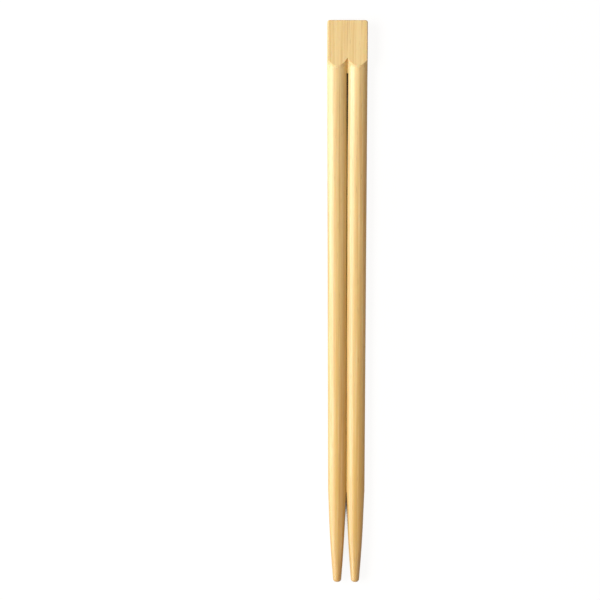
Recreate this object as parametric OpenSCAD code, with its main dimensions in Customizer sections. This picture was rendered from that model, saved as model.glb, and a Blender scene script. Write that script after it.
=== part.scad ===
// A joined pair of disposable bamboo chopsticks, lying flat.
// One planed bamboo strip: its head stays a flat block, and form cutters, a saw and a
// pointing tool turn the rest of it into two sticks that the head still holds together.
// X runs across the pair, +Y towards the head, Z up from the surface it lies on.

/* [Strip] */
// Length from the end of the head to the tips
length = 210; // [180:1:260]
// Width across the head
head_width = 15.1; // [13:0.1:17]
// Thickness of the planed strip, kept at the head
strip_thickness = 5; // [4.8:0.1:6]

/* [Head] */
// Length of the flat face, from its end to the fork between the sticks
head_length = 14.2; // [8:0.1:40]
// Radius of the two corners at the head's end, seen from above
corner_radius = 0.9; // [0.3:0.1:2]
// Radius of the eased edges of the head
edge_radius = 0.45; // [0.2:0.05:0.8]
// Height of the form cutter's axis above the head's face
cutter_height = 3.2; // [1.5:0.1:8]

/* [Sticks] */
// Width over both sticks where the points begin
foot_width = 13.6; // [11.5:0.1:14]
// Thickness of a stick beside the head
stick_thickness = 4.4; // [4:0.05:4.7]
// Thickness of a stick where its point begins
foot_thickness = 4; // [3.4:0.05:4.6]
// Radius of the rounded crown beside the head
crown_radius = 4.8; // [4.5:0.1:6]

/* [Slit] */
// Distance from the end of the head to the top of the slit
slit_start = 20; // [19.5:0.5:60]
// Width of the slit at its top
slit_width = 0.5; // [0.3:0.05:0.8]
// Width of the slit where the sticks lie close together
slit_close_width = 0.12; // [0.1:0.01:0.3]
// Length over which the sticks close up
slit_closing = 30; // [10:1:80]

/* [Points] */
// Length of a point
point_length = 34; // [15:1:60]
// Bulge of a point's side beyond a straight cone
point_bulge = 0.25; // [0:0.05:0.4]
// Diameter of a tip
tip_diameter = 3.1; // [2.2:0.1:3.8]
// Radius of the rounding round the end of a tip
tip_rounding = 1.2; // [0.2:0.1:1.5]

/* [Hidden] */
$fn = 96;
bamboo = [0.925, 0.796, 0.557];

// Steps in a rounded corner and along a point
corner_steps = 6;
point_steps = 10;
// How far a cutting solid runs past what it cuts
overrun = 2;
// How far the run-out dives under the sticks' crowns, so that the two meet in a clean line
runout_dip = 0.06;

mid = strip_thickness / 2;
head_half = head_width / 2;
point_start = length - point_length;

// The form cutter: the middles of the sticks beside the head, then the depth of the valley that it
// leaves between them, and from that the place of its axis along the strip
top_axis = (head_half + slit_width / 2) / 2;
crown_sink = crown_radius - stick_thickness / 2;
valley_height = sqrt(max(0, crown_radius ^ 2 - top_axis ^ 2)) - crown_sink;
valley_depth = mid - valley_height;
cutter_axis = head_length + sqrt(valley_depth * (2 * cutter_height + valley_depth));

// What changes in a straight line from the cutter's axis to where the points begin
foot_axis = (foot_width / 2 + slit_close_width / 2) / 2;
foot_crown_radius = crown_radius * (foot_width / 2 - foot_axis) / (head_half - top_axis);
function along(s) = (s - cutter_axis) / (point_start - cutter_axis);
function mix(a, b, t) = a + (b - a) * t;
function side(s) = mix(head_half, foot_width / 2, max(0, along(s)));
function axis(s) = mix(top_axis, foot_axis, along(s));
function crown(s) = mix(crown_radius, foot_crown_radius, along(s));
function half_thickness(s) = mix(stick_thickness, foot_thickness, along(s)) / 2;
lean = atan((top_axis - foot_axis) / (point_start - cutter_axis));

// A place along the strip, by its distance from the end of the head
function y_at(s) = length / 2 - s;

// A quarter round of radius r about centre c, from angle a
function quarter(c, r, a) = [
    for (i = [0:corner_steps]) c + r * [cos(a + 90 * i / corner_steps), sin(a + 90 * i / corner_steps)]
];

// A straight tapered rod from point p to point q
module rod(p, q, r_p, r_q) {
    d = q - p;
    translate(p)
        rotate([0, acos(d.z / norm(d)), atan2(d.y, d.x)])
            cylinder(h = norm(d), r1 = r_p, r2 = r_q);
}

// Points a solid made along +Z down the strip, from distance s
module down_strip(s) {
    translate([0, y_at(s), mid])
        rotate([90, 0, 0])
            children();
}

// The head's outline from above, with its two rounded corners
module head_plan() {
    x = head_half - corner_radius;
    y = y_at(corner_radius);
    linear_extrude(strip_thickness)
        polygon(concat(
            quarter([x, y], corner_radius, 0),
            quarter([-x, y], corner_radius, 90),
            [[-head_half, y_at(cutter_axis)], [head_half, y_at(cutter_axis)]]
        ));
}

// The head's section, with its eased edges
module head_section() {
    x = head_half - edge_radius;
    z = mid - edge_radius;
    down_strip(-overrun)
        linear_extrude(cutter_axis + 2 * overrun)
            polygon(concat(
                quarter([x, z], edge_radius, 0),
                quarter([-x, z], edge_radius, 90),
                quarter([-x, -z], edge_radius, 180),
                quarter([x, -z], edge_radius, 270)
            ));
}

// The head from the side, with the edges of its end eased
module head_side() {
    y = y_at(edge_radius);
    translate([-head_half - overrun, 0, 0])
        rotate([90, 0, 90])
            linear_extrude(head_width + 2 * overrun)
                polygon(concat(
                    quarter([y, strip_thickness - edge_radius], edge_radius, 0),
                    [[y_at(cutter_axis) - overrun, strip_thickness], [y_at(cutter_axis) - overrun, 0]],
                    quarter([y, edge_radius], edge_radius, 270)
                ));
}

// The form cutter where it leaves the strip: a wheel with two hollow grooves, one for each crown
module form_cutter() {
    height = mid + cutter_height;
    translate([0, y_at(cutter_axis), mid + height])
        rotate([0, 90, 0])
            rotate_extrude()
                difference() {
                    translate([0, -head_half - overrun])
                        square([height + runout_dip, head_width + 2 * overrun]);
                    for (x = [-top_axis, top_axis])
                        translate([height + crown_sink + runout_dip, x])
                            circle(r = crown_radius);
                }
}

// The head, cut from both faces by the form cutter
module head() {
    difference() {
        intersection() {
            head_plan();
            head_section();
            head_side();
        }
        form_cutter();
        translate([0, 0, strip_thickness])
            mirror([0, 0, 1])
                form_cutter();
    }
}

// Half of the strip, from the middle of the pair to its planed side
module strip_half() {
    start = head_length / 2;
    end = length + overrun;
    linear_extrude(strip_thickness)
        polygon([
            [0, y_at(start)], [head_half, y_at(start)],
            [head_half, y_at(cutter_axis)], [side(end), y_at(end)], [0, y_at(end)]
        ]);
}

// The round of a crown, along the whole strip
module crown_round() {
    function centre(s) = [axis(s), y_at(s), mid - (crown(s) - half_thickness(s))];
    rod(centre(0), centre(length + overrun), crown(0), crown(length + overrun));
}

// The space inside the pointing tool: wide round the stick, then closing in to the rounded tip
module pointing_tool() {
    foot_radius = foot_width / 2 - foot_axis;
    tip_radius = tip_diameter / 2;
    lead = point_length / 4;
    taper_end = point_length - tip_rounding;
    function radius(t) = mix(foot_radius, tip_radius, t) + 4 * point_bulge * t * (1 - t);
    translate([axis(0), 0, 0])
        rotate([0, 0, -lean])
            down_strip(0)
                rotate_extrude()
                    polygon(concat(
                        [[0, 0], [head_half, 0], [head_half, point_start - lead]],
                        [for (i = [-2:point_steps]) let (t = i / point_steps)
                            [radius(t), point_start + t * taper_end]],
                        quarter([tip_radius - tip_rounding, length - tip_rounding], tip_rounding, 0),
                        [[0, length]]
                    ));
}

// One stick: half of the strip with a crown on each face and a point
module stick() {
    intersection() {
        strip_half();
        crown_round();
        translate([0, 0, strip_thickness])
            mirror([0, 0, 1])
                crown_round();
        pointing_tool();
    }
}

// The saw cut, which starts blunt and narrows to where the sticks lie close together
module slit() {
    closed = slit_start + slit_closing;
    end = length + overrun;
    top = slit_width / 2;
    low = slit_close_width / 2;
    translate([0, 0, -overrun])
        linear_extrude(strip_thickness + 2 * overrun)
            polygon([
                [-top, y_at(slit_start)], [top, y_at(slit_start)], [low, y_at(closed)], [low, y_at(end)],
                [-low, y_at(end)], [-low, y_at(closed)]
            ]);
}

module joined_chopsticks() {
    color(bamboo)
        difference() {
            union() {
                head();
                stick();
                mirror([1, 0, 0]) stick();
            }
            slit();
        }
}

joined_chopsticks();
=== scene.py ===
"""Joined bamboo chopsticks lying on a white table top, seen from straight above."""

import math

import bmesh
import bpy
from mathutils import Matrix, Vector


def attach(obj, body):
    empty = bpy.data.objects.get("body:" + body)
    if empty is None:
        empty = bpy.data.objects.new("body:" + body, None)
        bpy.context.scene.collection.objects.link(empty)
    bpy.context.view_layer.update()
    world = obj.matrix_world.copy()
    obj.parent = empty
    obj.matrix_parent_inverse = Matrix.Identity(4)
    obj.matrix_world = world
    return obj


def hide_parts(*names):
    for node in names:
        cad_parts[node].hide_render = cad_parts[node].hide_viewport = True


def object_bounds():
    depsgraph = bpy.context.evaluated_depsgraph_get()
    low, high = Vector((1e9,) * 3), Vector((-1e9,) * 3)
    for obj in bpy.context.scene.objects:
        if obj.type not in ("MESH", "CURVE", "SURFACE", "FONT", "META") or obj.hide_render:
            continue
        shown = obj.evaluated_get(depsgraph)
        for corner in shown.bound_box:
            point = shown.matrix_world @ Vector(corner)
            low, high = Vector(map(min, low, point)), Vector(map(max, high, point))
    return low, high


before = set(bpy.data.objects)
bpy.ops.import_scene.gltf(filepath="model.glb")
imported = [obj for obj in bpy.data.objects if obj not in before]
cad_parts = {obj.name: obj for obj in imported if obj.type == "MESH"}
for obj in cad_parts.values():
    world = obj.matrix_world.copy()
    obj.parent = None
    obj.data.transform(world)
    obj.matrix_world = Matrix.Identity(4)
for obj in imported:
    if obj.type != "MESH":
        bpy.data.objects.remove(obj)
cad_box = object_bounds()

MM = 0.001

# The planed strip in millimetres: its box is the frame's, and places are measured from the end of the head
HEAD_WIDTH, LENGTH, STRIP = (round((high - low) / MM, 2) for low, high in zip(*cad_box))
HEAD_LENGTH = 14.2  # down to the valley between the two tongues of the flat face
CORNER = 0.9  # rounding of the head's upright corners
EDGE = 0.45  # easing of the head's long edges

# The sticks: thickness beside the head, then width over both and thickness where the points begin
STICK = 4.4
FOOT_WIDTH = 13.6
FOOT = 4.0
CROWN = 4.8  # radius of a stick's rounded faces beside the head
SLIT_TOP = 0.5  # width of the saw's cut at the head
SLIT_LOW = 0.12  # and where the points begin
SLIT_START = 19.6
# The slit's own width, a little frayed at the top: (place, width)
SLIT_WIDTHS = (
    (SLIT_START, 0.66),
    (36.0, 0.56),
    (50.0, 0.34),
    (90.0, 0.26),
    (120.0, SLIT_LOW),
    (LENGTH, SLIT_LOW),
)

# The turned points
POINT = 34.0
POINT_BULGE = 0.25  # how far a point swells past a straight taper
TIP = 3.1  # thickness of the blunt tip
TIP_ROUNDING = 1.2
SOFTNESS = 14  # how crisply a crown and its round point meet
SOFTENING = 8.0  # length over which that softness comes in

MID = STRIP / 2
HEAD_HALF = HEAD_WIDTH / 2
POINT_START = LENGTH - POINT
TAPER_END = LENGTH - TIP_ROUNDING

# The form cutter, whose place follows from how deep its valley goes
CUTTER_HEIGHT = 3.2  # of its axis above the strip's face
CUTTER_OVERHANG = 0.6  # past each side of the head
RUNOUT_DIP = 0.06  # how much deeper than the sticks' crowns it cuts
TOP_AXIS = (HEAD_HALF + SLIT_TOP / 2) / 2
CROWN_SINK = CROWN - STICK / 2
VALLEY = MID - (math.sqrt(CROWN**2 - TOP_AXIS**2) - CROWN_SINK)
CUTTER_AXIS = HEAD_LENGTH + math.sqrt(VALLEY * (2 * CUTTER_HEIGHT + VALLEY))
FOOT_AXIS = (FOOT_WIDTH / 2 + SLIT_LOW / 2) / 2
FOOT_HALF = FOOT_WIDTH / 2 - FOOT_AXIS
FOOT_CROWN = CROWN * FOOT_HALF / (HEAD_HALF - TOP_AXIS)

# Small lengths that help bodies join cleanly
OVERLAP = 0.03  # of the sticks past the middle while the strip is whole
INSET = 0.01  # of a stick's side inside the head's
SAW_STEP = 0.02  # on either side of the slit's start
CLOSE = 0.01  # places nearer than this count as level
MERGE = 0.002

# How finely the piece is drawn
CROWN_STEPS = 56
FLAT_STEPS = 4
STICK_STEPS = 78
POINT_STEPS = 40
TIP_STEPS = 10
RUNOUT_PLACES = (16.0, 17.0, 18.0, 19.0)
CUTTER_SLICES = 90  # on each side of its middle
CUTTER_TURNS = 240
SMOOTH_ANGLE = 18

# Bamboo, from the pale head to the deeper points, and what marks it
PALE_BAMBOO = (0.88, 0.685, 0.335)
GOLDEN_BAMBOO = (0.80, 0.585, 0.235)
LOWER_BAMBOO = (0.68, 0.42, 0.085)
TIP_BAMBOO = (0.54, 0.33, 0.13)
WARM_STREAK = (0.64, 0.335, 0.075)
DARK_STREAK = (0.67, 0.42, 0.145)
LIGHT_STREAK = (0.95, 0.75, 0.43)
DARK_FIBRE = (0.64, 0.41, 0.15)
LIGHT_FIBRE = (0.96, 0.79, 0.48)
BUNDLE = (0.50, 0.29, 0.10)
THREAD = (0.54, 0.33, 0.12)
DASH = (0.40, 0.22, 0.07)
END_GRAIN = (0.62, 0.39, 0.16)
END_GRAIN_DOT = (0.24, 0.12, 0.04)
RUBBED_EDGE = (0.93, 0.76, 0.47)
# painted shade for the slit's walls and end, not a colour of the bamboo
PAINTED_SLIT_SHADE = (0.20, 0.105, 0.03)

# The table top's shade by how much open sky a spot sees, and the grey that it throws back as light
TABLE_SIZE = 4.0
TABLE_SHADES = (
    (0.0, (0.03, 0.017, 0.006)),
    (0.16, (0.035, 0.02, 0.007)),
    (0.215, (0.87, 0.84, 0.79)),
    (0.5, (0.93, 0.93, 0.93)),
)
TABLE_GREY = (0.4, 0.4, 0.4)
SHADOW_SHARE = 0.1

# The light: a warm room, daylight through a large window and cooler sky light through a low one
WHITE = (1.0, 1.0, 1.0)
ROOM_COLOUR = (1.0, 0.72, 0.38)
ROOM_STRENGTH = 0.34
DAYLIGHT = (0.94, 0.965, 1.0)
SKYLIGHT = (0.64, 0.82, 1.0)
WINDOW_DISTANCE = 1.2

# The view: millimetres in a pixel, and the picture's middle in pixels right of and above the pair's
PIXEL = 0.374
VIEW_RIGHT = -46.8
VIEW_ABOVE = 1.25
VIEW_HEIGHT = 0.6265
VIEW_LEAN = 0.15


def mix(a, b, t):
    return a + (b - a) * t


def along(s):
    """How far s is on its way from the cutter's axis, 0, to the start of the points, 1."""
    return (s - CUTTER_AXIS) / (POINT_START - CUTTER_AXIS)


def at(s):
    """The frame's Y, in metres, at s millimetres from the end of the head."""
    return (LENGTH / 2 - s) * MM


def stick_axis(s):
    return mix(TOP_AXIS, FOOT_AXIS, along(s))


def outer_side(s):
    return mix(HEAD_HALF - INSET, FOOT_WIDTH / 2, max(0.0, along(s)))


def inner_side(s):
    """The sawn side of a stick: past the middle while the strip is whole, then half the slit."""
    if s < SLIT_START:
        return -OVERLAP
    for (upper, wide), (lower, narrow) in zip(SLIT_WIDTHS, SLIT_WIDTHS[1:]):
        if s <= lower:
            return mix(wide, narrow, (s - upper) / (lower - upper)) / 2
    return SLIT_LOW / 2


def point_radius(s):
    """Radius of the turned point at s."""
    t = min(1.0, (s - POINT_START) / (POINT - TIP_ROUNDING))
    if t < 1.0:
        return mix(FOOT_HALF, TIP / 2, t) + 4 * POINT_BULGE * t * (1 - t)
    drop = min(TIP_ROUNDING, s - TAPER_END)
    return TIP / 2 - TIP_ROUNDING + math.sqrt(TIP_ROUNDING**2 - drop**2)


def deselect_all():
    if bpy.context.object and bpy.context.object.mode != "OBJECT":
        bpy.ops.object.mode_set(mode="OBJECT")
    bpy.ops.object.select_all(action="DESELECT")


def make_active(piece):
    deselect_all()
    piece.select_set(True)
    bpy.context.view_layer.objects.active = piece


def settle(piece):
    """Puts a piece's place into its mesh, so that the object itself sits at the origin."""
    make_active(piece)
    bpy.ops.object.transform_apply(location=True, rotation=True, scale=True)


def carve(piece, tool, operation):
    """Joins a tool to a piece or cuts it away, and takes the tool off the bench."""
    make_active(piece)
    cut = piece.modifiers.new("carve", "BOOLEAN")
    cut.operation = operation
    cut.solver = "EXACT"
    cut.object = tool
    bpy.ops.object.modifier_apply(modifier=cut.name)
    bpy.data.objects.remove(tool, do_unlink=True)


def flipped_copy(piece, scale):
    """A copy of a piece turned over by a negative scale, with its faces pointing outwards again."""
    make_active(piece)
    bpy.ops.object.duplicate()
    copy = bpy.context.object
    copy.scale = scale
    settle(copy)
    bpy.ops.object.mode_set(mode="EDIT")
    bpy.ops.mesh.select_all(action="SELECT")
    bpy.ops.mesh.normals_make_consistent(inside=False)
    bpy.ops.object.mode_set(mode="OBJECT")
    return copy


def stick_section(s):
    """The section of the right-hand stick at s, as places across (x) and up (z)."""
    axis = stick_axis(s)
    left = inner_side(s) - axis
    right = outer_side(s) - axis
    radius = mix(CROWN, FOOT_CROWN, along(s))
    sink = radius - mix(STICK, FOOT, along(s)) / 2

    def crown_at(u):
        return math.sqrt(radius**2 - u**2) - sink

    first = math.asin(left / radius)
    last = math.asin(right / radius)
    across = [radius * math.sin(mix(first, last, i / CROWN_STEPS)) for i in range(CROWN_STEPS + 1)]
    outline = [(u, crown_at(u)) for u in across]
    low = crown_at(right)
    outline += [(right, mix(low, -low, i / FLAT_STEPS)) for i in range(1, FLAT_STEPS)]
    outline += [(u, -crown_at(u)) for u in reversed(across)]
    low = crown_at(left)
    outline += [(left, mix(-low, low, i / FLAT_STEPS)) for i in range(1, FLAT_STEPS)]
    if s > POINT_START:
        outline = turned_section(s, outline)
    return [(axis + u, MID + w) for u, w in outline]


def turned_section(s, outline):
    """Takes off what stands outside the round of the point, with a softened meeting line."""
    turned = point_radius(s)
    softened = min(1.0, (s - POINT_START) / SOFTENING)
    section = []
    for u, w in outline:
        reach = math.hypot(u, w)
        kept = (reach**-SOFTNESS + turned**-SOFTNESS) ** (-1 / SOFTNESS)
        kept = mix(min(reach, turned), kept, softened)
        section.append((u * kept / reach, w * kept / reach))
    return section


def stick_stations():
    """Distances at which a stick's section is set: close together where its shape changes."""
    places = [HEAD_LENGTH / 2, HEAD_LENGTH, *RUNOUT_PLACES, SLIT_START - SAW_STEP, SLIT_START + SAW_STEP]
    places += [mix(SLIT_START, POINT_START, i / STICK_STEPS) for i in range(1, STICK_STEPS + 1)]
    places += [mix(POINT_START, TAPER_END, i / POINT_STEPS) for i in range(1, POINT_STEPS)]
    turns = [math.radians(90 * i / TIP_STEPS) for i in range(TIP_STEPS + 1)]
    places += [TAPER_END + TIP_ROUNDING * math.sin(turn) for turn in turns]
    return places


def draw_out(name, rings):
    """A closed body extruded ring by ring; a ring is a list of places, as many in each."""
    deselect_all()
    bpy.ops.mesh.primitive_circle_add(vertices=len(rings[0]), radius=1)
    body = bpy.context.object
    body.name = name
    bpy.ops.object.mode_set(mode="EDIT")
    mesh = bmesh.from_edit_mesh(body.data)
    around = mesh.verts.layers.int.new("around")
    for i, vert in enumerate(mesh.verts):
        vert[around] = i
    bpy.ops.mesh.select_all(action="SELECT")
    for n, ring in enumerate(rings):
        if n:
            bpy.ops.mesh.extrude_region_move()
        mesh = bmesh.from_edit_mesh(body.data)
        around = mesh.verts.layers.int["around"]
        for vert in mesh.verts:
            if vert.select:
                vert.co = ring[vert[around]]
        bmesh.update_edit_mesh(body.data)
    # the last ring is still selected and is closed first, then the first ring, which is still open
    bpy.ops.mesh.edge_face_add()
    bpy.ops.mesh.select_all(action="DESELECT")
    bpy.ops.mesh.select_non_manifold()
    bpy.ops.mesh.edge_face_add()
    bpy.ops.mesh.select_all(action="SELECT")
    bpy.ops.mesh.normals_make_consistent(inside=False)
    bpy.ops.object.mode_set(mode="OBJECT")
    body.data.attributes.remove(body.data.attributes["around"])
    return body


def make_stick():
    """The right-hand stick, from inside the head to its tip."""
    rings = []
    for s in stick_stations():
        rings.append([(x, LENGTH / 2 - s, z) for x, z in stick_section(s)])
    return draw_out("stick", rings)


def make_form_cutter():
    """The wheel that leaves the strip's upper face here: a roller with a hollow groove for each crown."""
    reach = MID + CUTTER_HEIGHT
    centre_y = LENGTH / 2 - CUTTER_AXIS
    centre_z = MID + reach
    groove = reach + CROWN_SINK + RUNOUT_DIP
    side = HEAD_HALF + CUTTER_OVERHANG
    turns = [math.radians(360 * (k + 0.5) / CUTTER_TURNS) for k in range(CUTTER_TURNS)]
    rings = []
    for i in range(-CUTTER_SLICES, CUTTER_SLICES + 1):
        x = side * i / CUTTER_SLICES
        radius = groove - math.sqrt(CROWN**2 - (abs(x) - TOP_AXIS) ** 2)
        rings.append([(x, centre_y + radius * math.cos(a), centre_z + radius * math.sin(a)) for a in turns])
    return draw_out("form_cutter", rings)


def pick_edges(piece, wanted):
    """Selects the edges for which wanted(first end, second end) holds."""
    bpy.ops.mesh.select_mode(type="EDGE")
    bpy.ops.mesh.select_all(action="DESELECT")
    mesh = bmesh.from_edit_mesh(piece.data)
    for edge in mesh.edges:
        edge.select_set(wanted(edge.verts[0].co, edge.verts[1].co))
    bmesh.update_edit_mesh(piece.data)


def make_head():
    """The flat head: a block with rounded corners and eased edges, form-cut from both faces."""
    end = LENGTH / 2
    deselect_all()
    bpy.ops.mesh.primitive_cube_add(size=1, location=(0, end - CUTTER_AXIS / 2, MID))
    head = bpy.context.object
    head.name = "head"
    head.scale = (HEAD_WIDTH, CUTTER_AXIS, STRIP)
    settle(head)
    bpy.ops.object.mode_set(mode="EDIT")
    pick_edges(head, lambda a, b: min(a.y, b.y) > end - CLOSE and abs(a.z - b.z) > CLOSE)
    bpy.ops.mesh.bevel(offset=CORNER, segments=10, affect="EDGES")
    pick_edges(head, lambda a, b: abs(a.z - b.z) < CLOSE and max(a.y, b.y) > end - CUTTER_AXIS + CLOSE)
    bpy.ops.mesh.bevel(offset=EDGE, segments=6, affect="EDGES")
    bpy.ops.object.mode_set(mode="OBJECT")
    upper = make_form_cutter()
    lower = flipped_copy(upper, (1, 1, -1))
    lower.location.z = STRIP
    settle(lower)
    carve(head, upper, "DIFFERENCE")
    carve(head, lower, "DIFFERENCE")
    return head


def make_chopsticks():
    """The whole piece: head and both sticks as one body, modelled in millimetres and then put to scale."""
    piece = make_head()
    right = make_stick()
    left = flipped_copy(right, (-1, 1, 1))
    carve(piece, right, "UNION")
    carve(piece, left, "UNION")
    make_active(piece)
    bpy.ops.object.mode_set(mode="EDIT")
    bpy.ops.mesh.select_all(action="SELECT")
    bpy.ops.mesh.remove_doubles(threshold=MERGE)
    bpy.ops.mesh.normals_make_consistent(inside=False)
    bpy.ops.object.mode_set(mode="OBJECT")
    piece.scale = (MM, MM, MM)
    settle(piece)
    bpy.ops.object.shade_smooth_by_angle(angle=math.radians(SMOOTH_ANGLE))
    even = piece.modifiers.new("even_shading", "WEIGHTED_NORMAL")
    even.keep_sharp = True
    even.weight = 80
    bpy.ops.object.modifier_apply(modifier=even.name)
    piece.name = "bamboo_chopsticks"
    return piece


class Finish:
    """A node tree with the few tools that the bamboo, the table and the room are mixed with."""

    def __init__(self, tree):
        self.tree = tree

    def feed(self, socket, value):
        """Joins a socket to what another node gives, or sets it to a number, a direction or a colour."""
        if isinstance(value, bpy.types.NodeSocket):
            self.tree.links.new(value, socket)
        elif socket.type == "RGBA":
            socket.default_value = (*value, 1.0)
        else:
            socket.default_value = value

    def node(self, kind, feeds=None, **settings):
        """A new node with its settings made and its sockets fed, each by name or number."""
        made = self.tree.nodes.new("ShaderNode" + kind)
        for name, value in settings.items():
            setattr(made, name, value)
        for name, value in (feeds or {}).items():
            self.feed(made.inputs[name], value)
        return made

    def spread(self, value, low, high, to_low, to_high):
        """Takes a value from one range to another, and holds it at the ends."""
        ends = {"From Min": low, "From Max": high, "To Min": to_low, "To Max": to_high}
        return self.node("MapRange", {"Value": value, **ends}).outputs["Result"]

    def maths(self, operation, a, b=0.0):
        return self.node("Math", {0: a, 1: b}, operation=operation).outputs["Value"]

    def vectors(self, operation, feeds):
        return self.node("VectorMath", feeds, operation=operation).outputs

    def blend(self, factor, under, over):
        """Lays one colour over another, as much of it as the factor says."""
        return self.node("Mix", {0: factor, 6: under, 7: over}, data_type="RGBA").outputs[2]

    def seen_directly(self):
        """1 where a surface is looked at, straight or in a reflection, and 0 where it only gives light."""
        path = self.node("LightPath").outputs
        reflected = self.maths("MAXIMUM", path["Is Glossy Ray"], path["Is Transmission Ray"])
        return self.maths("MAXIMUM", path["Is Camera Ray"], reflected)


def grain(bamboo, place, across, lengthways, detail, roughness):
    """A pattern drawn out along the strip; across and lengthways are its repeats in a millimetre."""
    scale = (across / MM, lengthways / MM, across / MM)
    drawn_out = bamboo.node("Mapping", {"Vector": place, "Scale": scale}).outputs["Vector"]
    feeds = {"Vector": drawn_out, "Scale": 1.0, "Detail": detail, "Roughness": roughness}
    return bamboo.node("TexNoise", feeds).outputs


def wander(bamboo, place):
    """Places moved a little to and fro, as the strip's fibres wander on their way down."""
    drift = grain(bamboo, place, 0.06, 0.018, 1.0, 0.5)["Color"]
    centred = bamboo.vectors("SUBTRACT", {0: drift, 1: (0.5, 0.5, 0.5)})["Vector"]
    small = bamboo.vectors("SCALE", {0: centred, "Scale": 2.2 * MM})["Vector"]
    return bamboo.vectors("ADD", {0: place, 1: small})["Vector"]


def strand_lines(bamboo, place, across, core, edge):
    """Strands of fibre as long thin lines, and as dots where the end grain shows; some are faint."""
    turn = (math.radians(90), 0, 0)
    scale = (across / MM, across / MM, across / MM)
    end_on = bamboo.node("Mapping", {"Vector": place, "Rotation": turn, "Scale": scale}).outputs["Vector"]
    cells = bamboo.node("TexVoronoi", {"Vector": end_on, "Scale": 1.0}, voronoi_dimensions="2D").outputs
    chance = bamboo.node("SeparateColor", {"Color": cells["Color"]}).outputs["Red"]
    line = bamboo.spread(cells["Distance"], core, edge, 1.0, 0.0)
    return bamboo.maths("MULTIPLY", line, bamboo.spread(chance, 0.1, 0.9, 0.0, 1.0))


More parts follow.
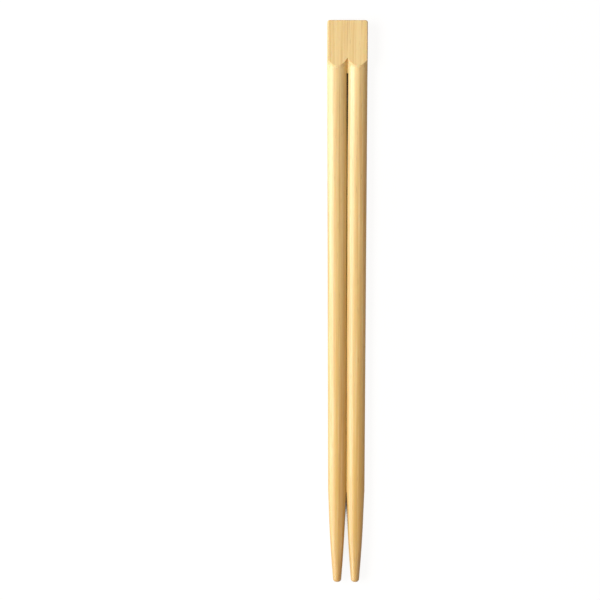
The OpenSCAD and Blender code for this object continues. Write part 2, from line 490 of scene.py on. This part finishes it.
def bamboo_finish():
    """Bare planed bamboo: fibres along the length, with darker strands and a satin face."""
    material = bpy.data.materials.new("bare_bamboo")
    material.use_nodes = True
    bamboo = Finish(material.node_tree)
    spread, maths, blend = bamboo.spread, bamboo.maths, bamboo.blend
    coordinates = bamboo.node("TexCoord").outputs
    place = coordinates["Object"]
    where = bamboo.node("SeparateXYZ", {"Vector": place}).outputs
    facing = bamboo.node("SeparateXYZ", {"Vector": coordinates["Normal"]}).outputs

    # the grain, from broad bands to single fibres
    bands = grain(bamboo, place, 0.28, 0.004, 2.0, 0.5)["Fac"]
    broad = grain(bamboo, place, 0.75, 0.007, 2.0, 0.55)["Fac"]
    streaks = grain(bamboo, place, 1.1, 0.013, 3.0, 0.6)["Fac"]
    fine = grain(bamboo, place, 3.6, 0.03, 3.0, 0.65)["Fac"]
    fibres = grain(bamboo, place, 7.0, 0.05, 4.0, 0.7)["Fac"]
    dashes = spread(grain(bamboo, place, 4.2, 0.20, 1.0, 0.4)["Fac"], 0.68, 0.76, 0.0, 1.0)
    wandering = wander(bamboo, place)
    bundles = strand_lines(bamboo, wandering, 1.15, 0.12, 0.27)
    threads = strand_lines(bamboo, wandering, 2.7, 0.08, 0.28)

    # where the piece is along its length, and where its fibres end
    on_sticks = spread(where["Y"], at(17), at(45), 0.0, 1.0)
    lower = spread(where["Y"], at(45), at(180), 0.0, 0.85)
    near_tip = spread(where["Y"], at(175), at(LENGTH), 0.0, 0.35)
    end_grain = spread(maths("ABSOLUTE", facing["Y"]), 0.55, 0.95, 0.0, 0.45)

    # the ground colour, and then each pattern's own over it, from where it begins to its full strength
    colour = blend(spread(bands, 0.34, 0.66, 0.0, 1.0), PALE_BAMBOO, GOLDEN_BAMBOO)
    colour = blend(lower, colour, LOWER_BAMBOO)
    warm_streaks = maths("MULTIPLY", spread(broad, 0.50, 0.66, 0.0, 0.60), on_sticks)
    colour = blend(warm_streaks, colour, WARM_STREAK)
    for pattern, begins, full, strength, tint in (
        (streaks, 0.46, 0.72, 0.50, DARK_STREAK),
        (streaks, 0.46, 0.28, 0.40, LIGHT_STREAK),
        (fine, 0.50, 0.74, 0.45, DARK_FIBRE),
        (fine, 0.50, 0.28, 0.35, LIGHT_FIBRE),
    ):
        colour = blend(spread(pattern, begins, full, 0.0, strength), colour, tint)
    for strands, strength, tint in ((bundles, 0.36, BUNDLE), (threads, 0.18, THREAD), (dashes, 0.40, DASH)):
        colour = blend(maths("MULTIPLY", strands, strength), colour, tint)
    colour = blend(near_tip, colour, TIP_BAMBOO)
    colour = blend(end_grain, colour, END_GRAIN)
    dots = maths("MULTIPLY", maths("MULTIPLY", bundles, end_grain), 1.7)
    colour = blend(dots, colour, END_GRAIN_DOT)

    # edges are rubbed pale, except those of the slit
    rounded = bamboo.node("Bevel", {"Radius": 0.22 * MM}, samples=6).outputs["Normal"]
    flat = bamboo.node("NewGeometry").outputs["Normal"]
    turn = bamboo.vectors("DOT_PRODUCT", {0: rounded, 1: flat})["Value"]
    off_middle = maths("ABSOLUTE", where["X"])
    off_slit = spread(off_middle, 0.8 * MM, 1.4 * MM, 0.0, 1.0)
    rubbed = maths("MULTIPLY", spread(turn, 0.995, 0.90, 0.0, 0.5), off_slit)
    colour = blend(rubbed, colour, RUBBED_EDGE)

    # painted shade: the slit's walls and its end are darkened, standing in for the shade deep in the narrow
    # slit
    wall = spread(maths("ABSOLUTE", facing["X"]), 0.80, 0.95, 0.0, 0.85)
    slit_end = spread(facing["Y"], -0.80, -0.95, 0.0, 0.95)
    in_slit = spread(off_middle, 0.8 * MM, 0.4 * MM, 0.0, 1.0)
    painted_slit_shade = maths("MULTIPLY", maths("MAXIMUM", wall, slit_end), in_slit)
    colour = blend(painted_slit_shade, colour, PAINTED_SLIT_SHADE)

    # fibres stand up a little, and strands and dashes lie in fine grooves
    height = maths("SUBTRACT", fibres, maths("MULTIPLY", bundles, 0.6))
    height = maths("SUBTRACT", height, maths("MULTIPLY", dashes, 0.8))
    raised = {"Strength": 0.6, "Distance": 0.05 * MM, "Height": height}
    relief = bamboo.node("Bump", raised).outputs["Normal"]
    satin = maths("ADD", spread(fine, 0.3, 0.7, 0.34, 0.48), maths("MULTIPLY", end_grain, 0.5))

    shader = bamboo.tree.nodes["Principled BSDF"]
    for socket, value in (
        ("Base Color", colour),
        ("Roughness", satin),
        ("Normal", relief),
        ("Subsurface Weight", 0.25),
        ("Subsurface Radius", (1.0, 0.5, 0.2)),
        ("Subsurface Scale", 1.0 * MM),
        ("Specular IOR Level", 0.7),
        ("Sheen Weight", 0.45),
        ("Sheen Roughness", 0.4),
    ):
        bamboo.feed(shader.inputs[socket], value)
    return material


def make_table_top():
    """A white table top: white in the open, with a faint shadow beside the sticks and dark in the slit."""
    deselect_all()
    bpy.ops.mesh.primitive_grid_add(x_subdivisions=4, y_subdivisions=4, size=TABLE_SIZE)
    table = bpy.context.object
    table.name = "table_top"
    material = bpy.data.materials.new("white_table")
    material.use_nodes = True
    material.node_tree.nodes.clear()
    paint = Finish(material.node_tree)
    open_sky = paint.node("AmbientOcclusion", {"Distance": 30 * MM}, samples=48).outputs["AO"]
    # the points stand well apart from each other, so light reaches the table between them
    place = paint.node("TexCoord").outputs["Object"]
    where = paint.node("SeparateXYZ", {"Vector": place}).outputs
    between_points = paint.spread(where["Y"], at(POINT_START + 1), at(POINT_START + 11), 0.0, 0.06)
    ramp = paint.node("ValToRGB", {"Fac": paint.maths("ADD", open_sky, between_points)})
    stops = ramp.color_ramp.elements
    stops.remove(stops[-1])
    for i, (sky, tint) in enumerate(TABLE_SHADES):
        stop = stops.new(sky) if i else stops[0]
        stop.position = sky
        stop.color = (*tint, 1.0)
    shade = ramp.outputs["Color"]
    # what the eye sees glows by itself and takes a faint shadow; all else is lit by a plain grey
    glow = paint.node("Emission", {"Color": shade})
    faint = paint.vectors("SCALE", {0: shade, "Scale": SHADOW_SHARE})["Vector"]
    shadowed = paint.node("BsdfDiffuse", {"Color": faint})
    white = paint.node("AddShader", {0: glow.outputs[0], 1: shadowed.outputs[0]})
    grey = paint.node("BsdfDiffuse", {"Color": TABLE_GREY})
    surface = paint.node("MixShader", {0: paint.seen_directly(), 1: grey.outputs[0], 2: white.outputs[0]})
    paint.node("OutputMaterial", {"Surface": surface.outputs[0]})
    table.data.materials.append(material)


def make_room():
    """A warm, even room that looks white itself."""
    world = bpy.data.worlds.new("room")
    bpy.context.scene.world = world
    world.use_nodes = True
    room = Finish(world.node_tree)
    warm = room.tree.nodes["Background"]
    room.feed(warm.inputs["Color"], ROOM_COLOUR)
    room.feed(warm.inputs["Strength"], ROOM_STRENGTH)
    white = room.node("Background", {"Color": WHITE})
    either = room.node("MixShader", {0: room.seen_directly(), 1: warm.outputs[0], 2: white.outputs[0]})
    room.feed(room.tree.nodes["World Output"].inputs["Surface"], either.outputs[0])


def add_window(name, elevation, size, power, colour):
    """A window on the left that faces the pair from so many degrees above the table."""
    rise = math.radians(elevation)
    place = (-WINDOW_DISTANCE * math.cos(rise), 0, WINDOW_DISTANCE * math.sin(rise))
    deselect_all()
    bpy.ops.object.light_add(type="AREA", location=place, rotation=(0, rise - math.radians(90), 0))
    lamp = bpy.context.object
    lamp.name = name
    lamp.data.shape = "RECTANGLE"
    lamp.data.size, lamp.data.size_y = size
    lamp.data.energy = power
    lamp.data.color = colour


def set_up_camera():
    """Looks straight down, with the pair right of the middle and its head leaning a touch right."""
    place = (VIEW_RIGHT * PIXEL * MM, VIEW_ABOVE * PIXEL * MM, VIEW_HEIGHT)
    deselect_all()
    bpy.ops.object.camera_add(location=place, rotation=(0, 0, math.radians(VIEW_LEAN)))
    camera = bpy.context.object
    camera.data.lens = 100
    camera.data.sensor_width = 36
    bpy.context.scene.camera = camera
    bpy.context.scene.view_settings.view_transform = "Standard"


chopsticks = make_chopsticks()
chopsticks.data.materials.clear()
chopsticks.data.materials.append(bamboo_finish())
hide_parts("joined_chopsticks")
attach(chopsticks, "root")

make_table_top()
make_room()
add_window("left_window", elevation=41, size=(0.5, 1.2), power=16.6, colour=DAYLIGHT)
add_window("low_window", elevation=12, size=(0.3, 1.2), power=5.6, colour=SKYLIGHT)
set_up_camera()
